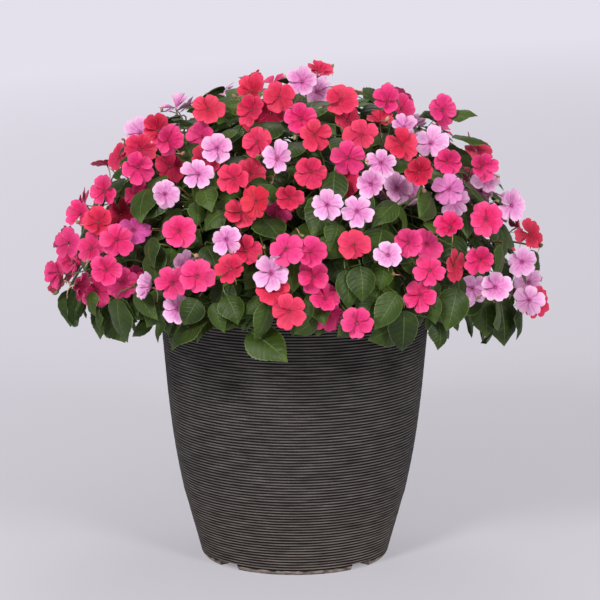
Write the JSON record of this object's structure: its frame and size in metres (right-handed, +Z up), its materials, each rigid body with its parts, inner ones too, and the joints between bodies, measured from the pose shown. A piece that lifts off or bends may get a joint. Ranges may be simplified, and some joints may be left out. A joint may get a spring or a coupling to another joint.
{
  "type": "busy lizzie in a ribbed pot",
  "caption": "Domed busy lizzie in full flower, rose, coral and pale lilac-pink blooms over dark leaves, rooted in the soil of a tapered patio pot with fine level ribs.",
  "frame": {"origin": "on the ground, under the middle of the pot", "axes": "+Z up along the pot's axis, -Y towards the front, +X to the right as seen from the front"},
  "size_m": [0.6341, 0.6139, 0.637],
  "materials": {
    "pot": "matt charcoal, rubbed to grey-brown on the ribs",
    "soil": "crumbled bark and peat",
    "leaf": "soft satin",
    "rose": "velvety matt",
    "coral": "velvety matt",
    "pale": "velvety matt"
  },
  "bodies": {
    "root": {"pot": "pot", "soil": "soil", "leafy_stem_01": "leaf", "leafy_stem_02": "leaf", "leafy_stem_03": "leaf", "leafy_stem_04": "leaf", "leafy_stem_05": "leaf", "leafy_stem_06": "leaf", "leafy_stem_07": "leaf", "leafy_stem_08": "leaf", "leafy_stem_09": "leaf", "leafy_stem_10": "leaf", "leafy_stem_11": "leaf", "leafy_stem_12": "leaf", "leafy_stem_13": "leaf", "leafy_stem_14": "leaf", "leafy_stem_15": "leaf", "leafy_stem_16": "leaf", "leafy_stem_17": "leaf", "leafy_stem_18": "leaf", "leafy_stem_19": "leaf", "leafy_stem_20": "leaf", "leafy_stem_21": "leaf", "leafy_stem_22": "leaf", "leafy_stem_23": "leaf", "leafy_stem_24": "leaf", "leafy_stem_25": "leaf", "leafy_stem_26": "leaf", "leafy_stem_27": "leaf", "rose_blooms_01": "rose", "coral_blooms_02": "coral", "pale_blooms_03": "pale", "rose_blooms_04": "rose", "coral_blooms_05": "coral", "pale_blooms_06": "pale", "rose_blooms_07": "rose", "coral_blooms_08": "coral", "pale_blooms_09": "pale", "rose_blooms_10": "rose", "coral_blooms_11": "coral", "pale_blooms_12": "pale", "rose_blooms_13": "rose", "coral_blooms_14": "coral", "pale_blooms_15": "pale", "rose_blooms_16": "rose", "coral_blooms_17": "coral", "pale_blooms_18": "pale", "rose_blooms_19": "rose", "coral_blooms_20": "coral", "pale_blooms_21": "pale", "rose_blooms_22": "rose", "coral_blooms_23": "coral", "pale_blooms_24": "pale", "rose_blooms_25": "rose", "coral_blooms_26": "coral", "pale_blooms_27": "pale"}
  },
  "joints": []
}
